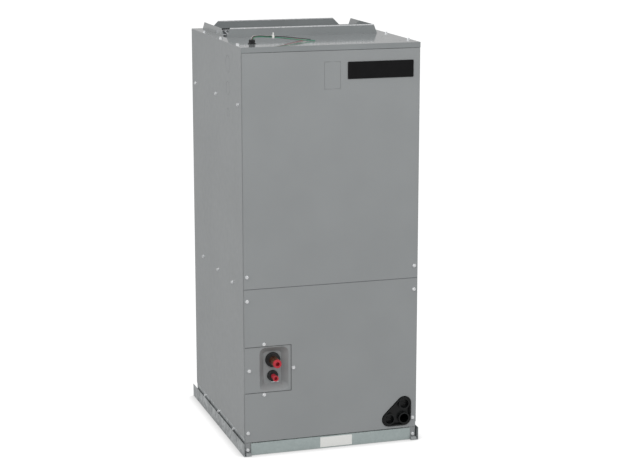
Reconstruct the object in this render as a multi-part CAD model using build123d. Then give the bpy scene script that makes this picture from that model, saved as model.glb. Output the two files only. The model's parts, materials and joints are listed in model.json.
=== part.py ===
from build123d import *
from math import atan2, cos, degrees, hypot, pi, radians, sin, tan
import os

# Upflow air handler, in millimetres. +Z is up, the front faces -Y and +X is to the viewer's right.
# The origin is on the floor below the middle of the base rails.

# Cabinet
cabinet_width = 470.0
cabinet_depth = 522.0
cabinet_height = 1052.0
skin = 1.0
galvanised = 1.2
side_flange = 22.0
side_bottom = 47.0
panel_inset = 2.0
gasket = 1.0
liner = 10.0
liner_gap = 1.0
top_lip = 13.5
top_lip_gap = 1.0

# Base rails and filter tracks
rail_stand_off = 3.5
rail_height = 34.0
rail_leg_height = 62.0
rail_overhang_front = 9.0
rail_overhang_back = 30.0
pan_ledge_z = 44.0
filter_width = 394.0
filter_depth = 495.0
filter_thickness = 19.0
filter_ledge_z = 4.4
rail_leg_gap = 0.5
rear_ledge_depth = 22.0
rear_floor_depth = 18.0
track_foot_depth = 39.0
filter_side_gap = 2.0
filter_lip = 13.0
filter_door_height = 32.3
filter_door_width = 435.0
filter_door_flange = 5.0
front_tab_height = 9.0
corner_inner_x = 216.0
corner_outer_x = 232.5

# Front panels
panel_seam = 439.5
seam_gap = 2.0
lower_panel_bottom = 35.0
panel_screw_x = 225.0
upper_screw_z = 472.0
lower_screw_top_z = 409.0
lower_screw_bottom_z = 60.0
badge_width = 175.0
badge_height = 43.5
badge_thickness = 2.5
badge_x = 129.0
badge_z = 986.5
breaker_knockout_x = 1.5
breaker_knockout_z = 975.5
breaker_knockout_width = 43.0
breaker_knockout_height = 69.0
slit = 0.9
knockout_bridge = 6.0

# Screws
screw_shank_r = 1.9
screw_hole_r = 2.1
screw_washer_r = 4.7
screw_washer = 0.9
screw_hex = 6.6
screw_head = 3.2
screw_length = 9.0
short_screw_length = 3.4

# Shelves inside the cabinet
divider_screw_z = 437.0
deck_screw_z = 907.0
shelf_flange = 16.0
shelf_screw_drop = 8.0
divider_front_web = 26.0
divider_opening_x = 190.0
divider_opening_front = -205.0
divider_opening_back = 238.0

# Side screws and knockouts
deck_screw_ys = (-229.5, -5.0, 222.0)
divider_screw_ys = (-157.0, -6.0, 156.0)
rail_screw_ys = (-151.0, 8.0, 160.0)
rail_screw_z = 38.5
knockout_y = -130.0
side_knockouts = ((998.0, 44.0), (937.0, 34.9), (875.0, 22.2))
back_screw_zs = (90.0, 310.0, 530.0, 750.0, 980.0)
base_screw_x = 226.0
base_screw_z = 14.0

# Supply opening in the top plate
supply_half_x = 208.0
supply_front = -8.0
supply_back = 245.0
duct_flange = 20.0
front_duct_flange = 24.0
duct_flange_cut = 20.0
top_screw_x = 226.0
top_screw_ys = (-196.0, -25.0, 150.0)
top_knockouts = ((182.0, -93.0, 22.2), (159.0, -162.0, 22.2), (192.0, -205.0, 22.2))

# Refrigerant plate and its recess
plate_left = -232.0
plate_right = -109.5
plate_bottom = 166.0
plate_top = 287.0
plate_overlap = 15.0
recess_x = -154.5
recess_z = 226.0
recess_width = 77.0
recess_height = 116.0
recess_depth = 18.0
recess_slope = 15.0
recess_corner = 16.0
suction_x = -153.5
suction_z = 246.5
suction_tube_r = 11.1
suction_grommet_r = 19.6
liquid_x = -154.0
liquid_z = 204.0
liquid_tube_r = 4.8
liquid_grommet_r = 14.3
tube_wall = 1.0
suction_tip_y = -291.0
liquid_tip_y = -275.0
cap_wall = 1.9
cap_hollow = 9.0
cap_web = 2.0
cap_grip = 12.0
plug_lip = 6.0
plug_rim = 1.0
plug_hollow = 13.0
plug_bore_r = 5.4
grommet_lip = 4.0
grommet_groove = 3.0

# Drain pan
pan_half_x = 222.0
pan_front = -255.0
pan_back = 248.0
pan_wall = 3.0
pan_floor = 3.0
pan_height = 58.0
pan_opening_x = 118.0
pan_opening_front = -150.0
pan_opening_back = 190.0
boss_ports = ((200.5, 100.5), (160.0, 61.0), (200.5, 61.0))
boss_corner_r = 19.0
boss_proud = 3.0
boss_rim = 3.0
boss_pocket = 9.0
port_r = 12.1
port_collar_r = 15.4
port_depth = 22.0
boss_clearance = 1.5
plug_face_depth = 12.0

# A-coil
slab_thickness = 44.0
slab_front = -176.0
slab_back = 222.0
slab_foot_x = 176.0
slab_foot_z = 122.0
slab_head_x = 36.0
slab_head_z = 398.0
tube_sheet = 1.5
coil_tube_r = 4.8
coil_rows = 2
coil_tubes_per_row = 14
bend_reach = 14.0
header_r = 12.0
header_y = -214.0
header_low_share = 0.36
header_high_share = 0.93
valve_y = -230.0
feeder_r = 1.6
feeder_pitch = 4.5

# Blower
wheel_r = 120.0
wheel_half_width = 95.0
wheel_blades = 40
blade_depth = 17.0
blade_thickness = 0.9
wheel_ring = 3.0
wheel_disc = 1.5
blower_y = 38.0
blower_z = 655.0
housing_half_width = 125.0
housing_wall = 1.0
cutoff_gap = 13.0
scroll_growth = 62.0
cutoff_angle = 28.0
inlet_r = 97.0
inlet_lip = 12.0
housing_flange = 14.0
shaft_r = 6.35
shaft_clearance = 0.05
hub_r = 19.0
hub_length = 32.0
motor_r = 69.0
motor_wall = 2.0
motor_left = -142.0
motor_right = -28.0
rotor_r = 36.0
stator_inner_r = 37.0
stack_length = 56.0
mount_band = 22.0
mount_arm = 14.0
mount_arms = 3

# Heater chamber and controls
chamber_y = -74.0
heater_cover_left = -24.0
heater_cover_right = 204.0
heater_cover_bottom = 921.0
heater_cover_top = 1032.0
heater_cover_lap = 10.0
control_left = -206.0
control_right = -46.0
control_bottom = 912.0
control_top = 1036.0
control_depth = 62.0
board_width = 92.0
board_height = 82.0
stand_off = 8.0

# Wiring on the top plate
bushing_x = -185.0
bushing_y = -180.0
bushing_r = 8.0
bushing_height = 11.0
bushing_flange_r = 10.0
lead_r = 1.1
lead_pitch = 2.7
tie_x = -118.0
tie_back = 8.0
tie_width = 3.6
tie_wall = 1.1

# Running clearances
slide_clearance = 0.4
joint_clearance = 0.3

# Places that follow from the sizes above
half_width = cabinet_width / 2
side_inner = half_width - skin
front = -cabinet_depth / 2
panel_back = front + skin
flange_front = panel_back + gasket
flange_back = flange_front + skin
rear = cabinet_depth / 2
rear_inner = rear - skin
rear_flange_front = rear_inner - skin
flange_edge = side_inner - side_flange
roof_bottom = cabinet_height - skin
roof_flange_bottom = roof_bottom - skin
lip_bottom = cabinet_height - top_lip
upper_panel_top = lip_bottom - top_lip_gap
upper_panel_bottom = panel_seam + seam_gap / 2
lower_panel_top = panel_seam - seam_gap / 2
panel_half = half_width - panel_inset
divider_z = divider_screw_z - shelf_screw_drop
deck_z = deck_screw_z - shelf_screw_drop
deck_top = deck_z + skin
rail_outer = half_width + rail_stand_off
rail_front = front - rail_overhang_front
rail_back = rear + rail_overhang_back
rail_leg_inner = side_inner - galvanised
track_guide_x = filter_width / 2 + filter_side_gap
blower_gap = wheel_r + cutoff_gap
slab_rise = slab_head_z - slab_foot_z
slab_lean = slab_foot_x - slab_head_x
slab_length = hypot(slab_rise, slab_lean)
slab_angle = degrees(atan2(slab_lean, slab_rise))


def block(x, y, z):
    """Box from (low, high) pairs along the three axes."""
    corner = Pos((x[0] + x[1]) / 2, (y[0] + y[1]) / 2, (z[0] + z[1]) / 2)
    return corner * Box(x[1] - x[0], y[1] - y[0], z[1] - z[0])


def rod_x(x, y, z, radius):
    return Pos((x[0] + x[1]) / 2, y, z) * Rot(0, 90, 0) * Cylinder(radius, x[1] - x[0])


def rod_y(x, y, z, radius):
    return Pos(x, (y[0] + y[1]) / 2, z) * Rot(90, 0, 0) * Cylinder(radius, y[1] - y[0])


def rod_z(x, y, z, radius):
    return Pos(x, y, (z[0] + z[1]) / 2) * Cylinder(radius, z[1] - z[0])


def mirror_x(shape):
    return mirror(shape, about=Plane.YZ)


def prism_y(points, y):
    """Solid with a straight-sided outline in X and Z, from y[0] to y[1]."""
    outline = make_face(Polyline(*[(px, 0, pz) for px, pz in points], close=True))
    solid = extrude(outline, amount=y[1] - y[0], dir=(0, 1, 0))
    return Pos(0, y[0], 0) * solid


def prism_x(points, x):
    """Solid with a straight-sided outline in Y and Z, from x[0] to x[1]."""
    outline = make_face(Polyline(*[(0, py, pz) for py, pz in points], close=True))
    solid = extrude(outline, amount=x[1] - x[0], dir=(1, 0, 0))
    return Pos(x[0], 0, 0) * solid


def folded_sheet(points, y, thickness):
    """Sheet of one thickness that is folded along a path of right angles in X and Z."""
    sheet = None
    for (xa, za), (xb, zb) in zip(points, points[1:]):
        leg = block(
            (min(xa, xb) - thickness / 2, max(xa, xb) + thickness / 2),
            y,
            (min(za, zb) - thickness / 2, max(za, zb) + thickness / 2),
        )
        sheet = leg if sheet is None else sheet + leg
    return sheet


def group(parts):
    """Separate solids that share one node."""
    solids = []
    for part in parts:
        solids.extend(part.solids())
    return Compound(children=solids)


# Screws

SCREW_FACINGS = {
    "front": Rot(90, 0, 0),
    "back": Rot(-90, 0, 0),
    "left": Rot(0, -90, 0),
    "right": Rot(0, 90, 0),
    "top": Rot(0, 0, 0),
}


def screw(place, facing, length=screw_length):
    """Hex-washer sheet-metal screw whose washer seats at place."""
    hex_head = extrude(RegularPolygon(screw_hex / 2, 6, major_radius=False), screw_head)
    hex_head = Pos(0, 0, screw_washer) * hex_head
    washer = Pos(0, 0, screw_washer / 2) * Cylinder(screw_washer_r, screw_washer)
    shank = Pos(0, 0, -length / 2) * Cylinder(screw_shank_r, length)
    return Pos(*place) * SCREW_FACINGS[facing] * (washer + hex_head + shank)


def screw_hole(place, facing, length=20.0):
    return Pos(*place) * SCREW_FACINGS[facing] * Cylinder(screw_hole_r, length)


def ring_slit(radius, depth):
    """Punched ring that two bridges keep in place, as a cutting tool along Z."""
    ring = Cylinder(radius, depth) - Cylinder(radius - slit, depth)
    bridge = Box(2 * radius + 2, knockout_bridge, depth)
    return ring - bridge


def side_screw_places():
    places = [(y, deck_screw_z) for y in deck_screw_ys]
    places += [(y, divider_screw_z) for y in divider_screw_ys]
    return places


def upper_screw_places():
    return [(x, upper_screw_z) for x in (-panel_screw_x, panel_screw_x)]


def lower_screw_places():
    heights = (lower_screw_top_z, lower_screw_bottom_z)
    return [(x, z) for x in (-panel_screw_x, panel_screw_x) for z in heights]


def plate_screw_places():
    """Left, top, right and bottom screws around the refrigerant plate."""
    middle_x = (plate_left + plate_right) / 2 - 10.5
    middle_z = (plate_bottom + plate_top) / 2 - 1.0
    reach = 6.5
    return (
        (plate_left + 11.5, middle_z),
        (middle_x, plate_top + reach),
        (plate_right + reach, middle_z),
        (middle_x, plate_bottom - reach),
    )


# Base and filter


def rail(side):
    """Galvanised U rail: low outer lip, web on the floor and a tall inner leg."""
    y = (rail_front, rail_back)
    outer = block((-rail_outer, -rail_outer + galvanised), y, (0, rail_height))
    web = block((-rail_outer, -rail_leg_inner), y, (0, galvanised))
    leg_y = (flange_back + rail_leg_gap, rear_flange_front - rail_leg_gap)
    leg = block((-side_inner, -rail_leg_inner), leg_y, (0, rail_leg_height))
    body = outer + web + leg
    for screw_y in rail_screw_ys:
        body -= screw_hole((-side_inner, screw_y, rail_screw_z), "left")
    return body if side == "left" else mirror_x(body)


def filter_tracks():
    """One folded sheet each side: screwed leg, pan ledge, filter guide and filter lip."""
    half = galvanised / 2
    leg_x = rail_leg_inner - half
    path = [
        (-leg_x, galvanised + 16.0),
        (-leg_x, pan_ledge_z - half),
        (-track_guide_x - half, pan_ledge_z - half),
        (-track_guide_x - half, half),
    ]
    track_y = (flange_back + 1.0, rear_flange_front - 3.0)
    track_left = -rail_leg_inner + joint_clearance
    tab_x = (track_left, -filter_door_width / 2 - 1.0)
    foot_y = (track_y[0], track_y[0] + track_foot_depth)
    lip_x = (-track_guide_x - galvanised, -track_guide_x + filter_lip)
    track = folded_sheet(path, track_y, galvanised)
    track += block(lip_x, track_y, (filter_ledge_z, filter_ledge_z + galvanised))
    track += block(tab_x, (rail_front, track_y[0]), (0, galvanised))
    track += block(tab_x, (rail_front, rail_front + galvanised), (0, front_tab_height))
    track += block((track_left, -track_guide_x), foot_y, (0, galvanised))
    for screw_y in rail_screw_ys:
        track -= screw_hole((-side_inner, screw_y, rail_screw_z), "left")
    return group([track, mirror_x(track) - boss_opening()])


def rear_rail():
    """Channel that closes the filter slot at the back and carries the pan."""
    x = (-track_guide_x - 30.0, track_guide_x + 30.0)
    inner = (-track_guide_x + joint_clearance, track_guide_x - joint_clearance)
    floor_half = filter_width / 2 - filter_lip
    ledge_y = (rear_flange_front - rear_ledge_depth, rear_flange_front)
    floor_y = (rear_flange_front - rear_floor_depth, rear_flange_front)
    wall = block(x, (rear_flange_front - galvanised, rear_flange_front), (0, pan_ledge_z))
    ledge = block(inner, ledge_y, (pan_ledge_z - galvanised, pan_ledge_z))
    floor = block((-floor_half, floor_half), floor_y, (filter_ledge_z, filter_ledge_z + galvanised))
    return wall + ledge + floor


def front_rail():
    """Narrow angle under the lower panel, notched around the drain boss."""
    x = (-flange_edge + joint_clearance, flange_edge - joint_clearance)
    wall = block(x, (flange_front, flange_back), (filter_door_height + 1.2, pan_ledge_z))
    ledge = block((-track_guide_x + 1.0, track_guide_x - 1.0), (flange_front, flange_back + 20.0),
                  (pan_ledge_z - galvanised, pan_ledge_z))
    return wall + ledge - boss_opening()


def filter_bottom():
    return filter_ledge_z + galvanised + slide_clearance


def filter_span_y():
    start = flange_back + 2.0
    return (start, start + filter_depth)


def filter_frame():
    """Cardboard frame of the air filter, with stiffening bars."""
    half = filter_width / 2
    y = filter_span_y()
    z = (filter_bottom(), filter_bottom() + filter_thickness)
    border = 22.0
    board = 1.5
    frame = block((-half, half), y, z)
    frame -= block((-half + board, half - board), (y[0] + board, y[1] - board), (z[0] + board, z[1] - board))
    frame -= block((-half + border, half - border), (y[0] + border, y[1] - border), (z[0] - 1, z[1] + 1))
    for share in (1 / 3, 2 / 3):
        bar_y = y[0] + share * filter_depth
        for level in (z[0], z[1] - board):
            frame += block((-half + border, half - border), (bar_y - 6, bar_y + 6), (level, level + board))
    return frame


def filter_media():
    """Pleated media that fills the frame between its two cardboard faces."""
    board = 1.5
    gap = 0.2
    half = filter_width / 2 - board - gap
    y0, y1 = filter_span_y()
    y0 += board + gap
    y1 -= board + gap
    low = filter_bottom() + board + gap
    high = filter_bottom() + filter_thickness - board - gap
    cloth = 1.6
    pleats = 24
    step = (y1 - y0) / pleats
    top_line = []
    bottom_line = []
    for i in range(pleats):
        top_line += [(y0 + i * step, low + cloth), (y0 + (i + 0.5) * step, high)]
        bottom_line += [(y0 + i * step, low), (y0 + (i + 0.5) * step, high - cloth)]
    top_line.append((y1, low + cloth))
    bottom_line.append((y1, low))
    return prism_x(top_line + bottom_line[::-1], (-half, half))


def filter_door():
    """Galvanised strip with top and bottom flanges that grip the filter slot."""
    half = filter_door_width / 2
    plate_y = (flange_front - skin - 2.2, flange_front - skin - 1.0)
    reach_y = (plate_y[0], flange_front - 0.2)
    inner = track_guide_x - 4.0
    door = block((-half, half), plate_y, (0.3, filter_door_height))
    door += block((-half, half), reach_y, (filter_door_height - galvanised, filter_door_height))
    door += block((-inner, inner), (plate_y[0], plate_y[0] + filter_door_flange),
                  (filter_door_height - galvanised, filter_door_height))
    door += block((-inner, inner), reach_y, (0.3, 0.3 + galvanised))
    return door


def door_label():
    front_y = flange_front - skin - 2.2
    return block((-31.0, 56.0), (front_y - 0.3, front_y), (3.0, 30.0))


# Cabinet


def side_panel(side):
    """Painted side with front, rear and top flanges and three conduit knockouts."""
    z = (side_bottom, roof_bottom)
    body = block((-half_width, -side_inner), (flange_front, rear), z)
    body += block((-half_width, -flange_edge), (flange_front, flange_back), z)
    body += block((-half_width, -flange_edge), (rear_flange_front, rear_inner), z)
    roof_flange_y = (flange_front, rear_inner)
    body += block((-half_width, -flange_edge), roof_flange_y, (roof_flange_bottom, roof_bottom))
    corner_x = (-corner_outer_x, -corner_inner_x)
    body += block(corner_x, (flange_front, flange_back), (galvanised, side_bottom + 1))
    for y, z_place in side_screw_places():
        body -= screw_hole((-half_width, y, z_place), "left")
    for z_place, diameter in side_knockouts:
        tool = Rot(0, 90, 0) * ring_slit(diameter / 2, 6 * skin)
        body -= Pos(-half_width + skin / 2, knockout_y, z_place) * tool
    for x, z_place in upper_screw_places() + lower_screw_places():
        if x < 0:
            body -= screw_hole((x, flange_front, z_place), "front", 6.0)
    body -= screw_hole((-base_screw_x, flange_front, base_screw_z), "front", 6.0)
    for z_place in back_screw_zs:
        body -= screw_hole((-base_screw_x, rear_inner, z_place), "back", 4.0)
    for y in top_screw_ys:
        body -= screw_hole((-top_screw_x, y, roof_bottom), "top", 6.0)
    if side == "right":
        return mirror_x(body) - boss_opening()
    plate_screw_x, plate_screw_z = plate_screw_places()[0]
    return body - screw_hole((plate_screw_x, flange_front, plate_screw_z), "front", 6.0)


def back_panel():
    """Painted back sheet between the sides, with two stiffening ribs."""
    half = side_inner - joint_clearance
    panel = block((-half, half), (rear_inner, rear), (side_bottom - 12.0, roof_bottom))
    for z_place in back_screw_zs:
        for x in (-base_screw_x, base_screw_x):
            panel -= screw_hole((x, rear_inner, z_place), "back", 4.0)
    for level in (260.0, 680.0):
        rib = block((-half + 45, half - 45), (rear - 0.1, rear + 2.0), (level - 9, level + 9))
        rib = fillet(rib.edges().filter_by(Axis.Y), 8.5)
        panel += chamfer(rib.faces().sort_by(Axis.Y)[-1].edges(), 1.4)
    return panel


def cabinet_liners():
    """Foil-faced insulation boards on the sides and back, in three heights."""
    spans = (
        (rail_leg_height + liner_gap, divider_z - liner_gap),
        (divider_z + shelf_flange + liner_gap, deck_z - liner_gap),
        (deck_z + shelf_flange + liner_gap, roof_flange_bottom - 3.0 * liner_gap),
    )
    boards = []
    for index, z in enumerate(spans):
        start = chamber_y + 5.0 if index == 2 else front + 25.0
        side = block((-side_inner, -side_inner + liner), (start, rear_flange_front - liner - 1.0), z)
        boards += [side, mirror_x(side)]
        back = block((-flange_edge + liner_gap, flange_edge - liner_gap), (rear_inner - liner, rear_inner), z)
        boards.append(back)
    return group(boards)


def shelf(bottom, front_web):
    """Shelf pressed from one sheet, with flanges turned up against the cabinet walls."""
    y = (flange_back, rear_flange_front)
    z = (bottom, bottom + shelf_flange)
    body = block((-side_inner, side_inner), y, (bottom, bottom + skin))
    body += block((-side_inner, -side_inner + skin), y, z)
    body += block((side_inner - skin, side_inner), y, z)
    inside = flange_edge - joint_clearance
    body += block((-inside, inside), (y[1] - 1, rear_inner), (bottom, bottom + skin))
    body += block((-inside, inside), (rear_inner - skin, rear_inner), z)
    body += block((-inside, inside), (flange_front, flange_back + 1), (bottom, bottom + skin))
    body += block((-inside, inside), (flange_front, flange_back), (bottom, bottom + front_web))
    return body


def divider_shelf():
    body = shelf(divider_z, divider_front_web)
    body -= block((-divider_opening_x, divider_opening_x), (divider_opening_front, divider_opening_back),
                  (divider_z - 5, divider_z + 5))
    for y in divider_screw_ys:
        for x in (-side_inner, side_inner):
            body -= screw_hole((x, y, divider_screw_z), "left", 8.0)
    return body


def scroll_radius(angle):
    """Inner radius of the blower scroll, angle in degrees from straight up towards the front."""
    return blower_gap + scroll_growth * angle / 270


def scroll_point(angle, offset=0.0):
    reach = scroll_radius(angle) + offset
    return (blower_y - reach * sin(radians(angle)), blower_z + reach * cos(radians(angle)))


def outlet_span_y():
    """Inner front and rear walls of the blower outlet."""
    return (scroll_point(cutoff_angle)[0] + 62.0, scroll_point(270)[0])


def blower_deck():
    """Deck with the blower outlet cut through it."""
    body = shelf(deck_z, shelf_flange)
    y = outlet_span_y()
    half = housing_half_width
    body -= block((-half, half), y, (deck_z - 5, deck_z + 5))
    for screw_y in deck_screw_ys:
        for x in (-side_inner, side_inner):
            body -= screw_hole((x, screw_y, deck_screw_z), "left", 8.0)
    return body


def duct_flange_x(height, base_half, cut, y):
    """Flange along X whose ends slope in."""
    z = cabinet_height - skin
    top = cabinet_height + height
    points = [(-base_half, z), (base_half, z), (base_half, cabinet_height), (base_half - cut, top),
              (-base_half + cut, top), (-base_half, cabinet_height)]
    return prism_y(points, y)


def duct_flange_y(height, y, cut, x):
    """Flange along Y whose ends slope in."""
    z = cabinet_height - skin
    top = cabinet_height + height
    points = [(y[0], z), (y[1], z), (y[1], cabinet_height), (y[1] - cut, top),
              (y[0] + cut, top), (y[0], cabinet_height)]
    return prism_x(points, x)


def top_plate():
    """Top sheet with front and rear lips, supply opening, duct flanges and knockouts."""
    plate = block((-half_width, half_width), (front, rear), (roof_bottom, cabinet_height))
    plate += block((-half_width, half_width), (front, front + skin), (lip_bottom, cabinet_height))
    plate += block((-half_width + 2, half_width - 2), (rear, rear + skin), (lip_bottom - 8, cabinet_height))
    supply_y = (supply_front, supply_back)
    plate -= block((-supply_half_x, supply_half_x), supply_y, (roof_bottom - 1, cabinet_height + 1))
    edge = supply_half_x
    plate += duct_flange_x(front_duct_flange, edge - 2.0, 9.0, (supply_front - skin, supply_front))
    plate += duct_flange_x(duct_flange, 184.0, duct_flange_cut, (supply_back, supply_back + skin))
    for x in ((-edge - skin, -edge), (edge, edge + skin)):
        plate += duct_flange_y(duct_flange, (supply_front + 24.0, supply_back - 5.0), duct_flange_cut, x)
    for x, y, diameter in top_knockouts:
        plate -= Pos(x, y, cabinet_height) * ring_slit(diameter / 2, 6 * skin)
    for x in (-top_screw_x, top_screw_x):
        for y in top_screw_ys:
            plate -= screw_hole((x, y, cabinet_height), "top", 6.0)
    plate -= rod_z(bushing_x, bushing_y, (roof_bottom - 1, cabinet_height + 1), bushing_r + 0.1)
    return plate


def cabinet_screws():
    """All equal hex-washer screws that hold the cabinet, its shelves and its base."""
    screws = []
    for y, z in side_screw_places():
        screws.append(screw((-half_width, y, z), "left", short_screw_length))
        screws.append(screw((half_width, y, z), "right", short_screw_length))
    for y in rail_screw_ys:
        screws.append(screw((-side_inner, y, rail_screw_z), "left", short_screw_length))
        screws.append(screw((side_inner, y, rail_screw_z), "right", short_screw_length))
    for x in (-base_screw_x, base_screw_x):
        screws.append(screw((x, flange_front, base_screw_z), "front", short_screw_length))
        for z in back_screw_zs:
            screws.append(screw((x, rear, z), "back", short_screw_length))
        for y in top_screw_ys:
            screws.append(screw((x, y, cabinet_height), "top", short_screw_length))
    plate_screw_x, plate_screw_z = plate_screw_places()[0]
    screws.append(screw((plate_screw_x, panel_back, plate_screw_z), "front"))
    return group(screws)


# Front panels


def upper_panel():
    """Upper service panel with the breaker knockout punched in its face."""
    body = block((-panel_half, panel_half), (front, panel_back), (upper_panel_bottom, upper_panel_top))
    for x, z in upper_screw_places():
        body -= screw_hole((x, front, z), "front", 6.0)
    half_w = breaker_knockout_width / 2
    half_h = breaker_knockout_height / 2
    tool = Box(2 * half_w, 6 * skin, 2 * half_h) - Box(2 * (half_w - slit), 6 * skin, 2 * (half_h - slit))
    tool -= Box(knockout_bridge, 6 * skin, 2 * half_h + 2)
    return body - Pos(breaker_knockout_x, front, breaker_knockout_z) * tool


def upper_panel_liner():
    half = flange_edge - 3.0
    low = divider_z + divider_front_web + 3.0
    board = block((-half, half), (panel_back, panel_back + liner), (low, upper_panel_top - 4.0))
    board -= block((breaker_knockout_x - 30, breaker_knockout_x + 30), (front, flange_back + 20),
                   (breaker_knockout_z - 44, breaker_knockout_z + 44))
    deck_slot_z = (deck_z - 1.5, deck_z + shelf_flange + 1.5)
    return board - block((-half - 1, half + 1), (front, flange_back + 20), deck_slot_z)


def upper_panel_screws():
    return group([screw((x, front, z), "front") for x, z in upper_screw_places()])


def badge():
    """Plain black plate with a bevelled rim."""
    half_w = badge_width / 2
    half_h = badge_height / 2
    plate = block((badge_x - half_w, badge_x + half_w), (front - badge_thickness, front),
                  (badge_z - half_h, badge_z + half_h))
    plate = fillet(plate.edges().filter_by(Axis.Y), 2.0)
    return chamfer(plate.faces().sort_by(Axis.Y)[0].edges(), 1.0)


def boss_outline(offset):
    """Rounded triangle around the three drain ports."""
    radius = boss_corner_r + offset
    points = list(boss_ports)
    middle = (sum(p[0] for p in points) / 3, sum(p[1] for p in points) / 3)
    spread = sorted(points, key=lambda p: atan2(p[1] - middle[1], p[0] - middle[0]))
    corners = []
    for index, point in enumerate(spread):
        ahead = spread[(index + 1) % 3]
        run = hypot(ahead[0] - point[0], ahead[1] - point[1])
        normal = ((ahead[1] - point[1]) / run, -(ahead[0] - point[0]) / run)
        corners.append((point[0] + normal[0] * radius, point[1] + normal[1] * radius))
        corners.append((ahead[0] + normal[0] * radius, ahead[1] + normal[1] * radius))
    lines = [Line((*corners[i], 0), (*corners[i + 1], 0)) for i in (0, 2, 4)]
    arcs = []
    for i in (1, 3, 5):
        start = corners[i]
        end = corners[(i + 1) % 6]
        centre = spread[((i + 1) // 2) % 3]
        away = ((start[0] + end[0]) / 2 - centre[0], (start[1] + end[1]) / 2 - centre[1])
        size = hypot(*away)
        top = (centre[0] + away[0] / size * radius, centre[1] + away[1] / size * radius)
        arcs.append(ThreePointArc((*start, 0), (*top, 0), (*end, 0)))
    return make_face([lines[0], arcs[0], lines[1], arcs[1], lines[2], arcs[2]])


def along_y(face, y):
    """Solid from a face drawn in X and Z on the XY plane, between two places on Y."""
    solid = extrude(face, y[1] - y[0])
    return Pos(0, y[1], 0) * Rot(90, 0, 0) * solid


def boss_opening():
    """Room for the drain boss in what it passes through."""
    return along_y(boss_outline(boss_clearance), (front - 20.0, flange_back + 30.0))


def lower_panel():
    """Lower service panel, notched around the refrigerant plate and cut out for the boss."""
    body = block((-panel_half, panel_half), (front, panel_back), (lower_panel_bottom, lower_panel_top))
    body -= block((-panel_half - 1, plate_right), (front - 1, panel_back + 1), (plate_bottom, plate_top))
    body -= boss_opening()
    for x, z in lower_screw_places() + list(plate_screw_places()[1:]):
        body -= screw_hole((x, front, z), "front", 6.0)
    return body


def lower_panel_liner():
    half = flange_edge - 3.0
    board_z = (pan_ledge_z + pan_height + 4.0, divider_z - 3.0)
    board = block((-half, half), (panel_back, panel_back + liner), board_z)
    board -= block((-half - 1, plate_right + plate_overlap + 3.0), (front, flange_back + 20),
                   (plate_bottom - plate_overlap - 3.0, plate_top + plate_overlap + 3.0))
    left = min(x for x, z in boss_ports) - boss_corner_r - 6.0
    top = max(z for x, z in boss_ports) + boss_corner_r + 6.0
    return board - block((left, half + 1), (front, flange_back + 20), (0, top))


def lower_panel_screws():
    places = lower_screw_places() + list(plate_screw_places()[1:])
    return group([screw((x, front, z), "front") for x, z in places])


def panel_gaskets():
    """Foam tape on the cabinet flanges, behind the panel edges."""
    y = (panel_back, flange_front)
    outer = panel_half
    inner = flange_edge + 3.0
    low_plate = plate_bottom - plate_overlap - 1.0
    high_plate = plate_top + plate_overlap + 1.0
    seam_low = panel_seam - 9.0
    seam_high = panel_seam + 12.0
    strips = [
        block((-outer, -inner), y, (side_bottom + 1.0, low_plate)),
        block((-outer, -inner), y, (high_plate, seam_low)),
        block((inner, outer), y, (side_bottom + 1.0, seam_low)),
        block((-outer, outer), y, (seam_low, seam_high)),
        block((-outer, -inner), y, (seam_high, upper_panel_top)),
        block((inner, outer), y, (seam_high, upper_panel_top)),
    ]
    taped = []
    for strip in strips:
        for x, z in upper_screw_places() + lower_screw_places():
            strip -= screw_hole((x, panel_back, z), "front", 6.0)
        taped.append(strip - boss_opening())
    return group(taped)


# Refrigerant connections


def recess_tool(grow, depth):
    """Tapered pocket of the refrigerant plate, grown outwards by a sheet thickness."""
    mouth = Pos(recess_x, 0, recess_z) * Rot(90, 0, 0) * RectangleRounded(
        recess_width + 2 * grow, recess_height + 2 * grow, recess_corner + grow)
    floor = Pos(recess_x, 0, recess_z) * Rot(90, 0, 0) * RectangleRounded(
        recess_width - 2 * recess_slope + 2 * grow, recess_height - 2 * recess_slope + 2 * grow,
        recess_corner - recess_slope / 2 + grow)
    return loft([Pos(0, panel_back, 0) * mouth, Pos(0, panel_back + depth, 0) * floor])


def recess_floor_y():
    return panel_back + recess_depth


def refrigerant_plate():
    """Plate behind the notch of the lower panel, with the drawn recess for the line set."""
    y = (panel_back, flange_front)
    body = block((plate_left, plate_right + plate_overlap), y,
                 (plate_bottom - plate_overlap, plate_top + plate_overlap))
    body += recess_tool(skin, recess_depth + skin)
    body -= recess_tool(0, recess_depth)
    low = recess_floor_y() - 5
    body -= rod_y(suction_x, (low, low + 12), suction_z, suction_grommet_r - grommet_lip)
    body -= rod_y(liquid_x, (low, low + 12), liquid_z, liquid_grommet_r - grommet_lip)
    for x, z in plate_screw_places():
        body -= screw_hole((x, panel_back, z), "front", 6.0)
    return body


def grommet(x, z, radius, tube_r):
    """Ribbed rubber grommet that grips the sheet edge and seals on the tube."""
    floor = recess_floor_y()
    neck_r = radius - grommet_lip - 0.1
    body = rod_y(x, (floor - 7.0, floor), z, radius)
    body = chamfer(body.faces().sort_by(Axis.Y)[0].edges(), 2.2)
    body += rod_y(x, (floor, floor + skin), z, neck_r)
    body += rod_y(x, (floor + skin, floor + skin + grommet_groove), z, radius)
    body += rod_y(x, (floor - 10.0, floor), z, tube_r + 3.2)
    body -= rod_y(x, (floor - 20.0, floor + 20.0), z, tube_r)
    ribs = 12
    for i in range(ribs):
        angle = 2 * pi * i / ribs
        reach = radius + 0.4
        body -= rod_y(x + reach * cos(angle), (floor - 9.0, floor - 1.0), z + reach * sin(angle), 1.5)
    return body


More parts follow.
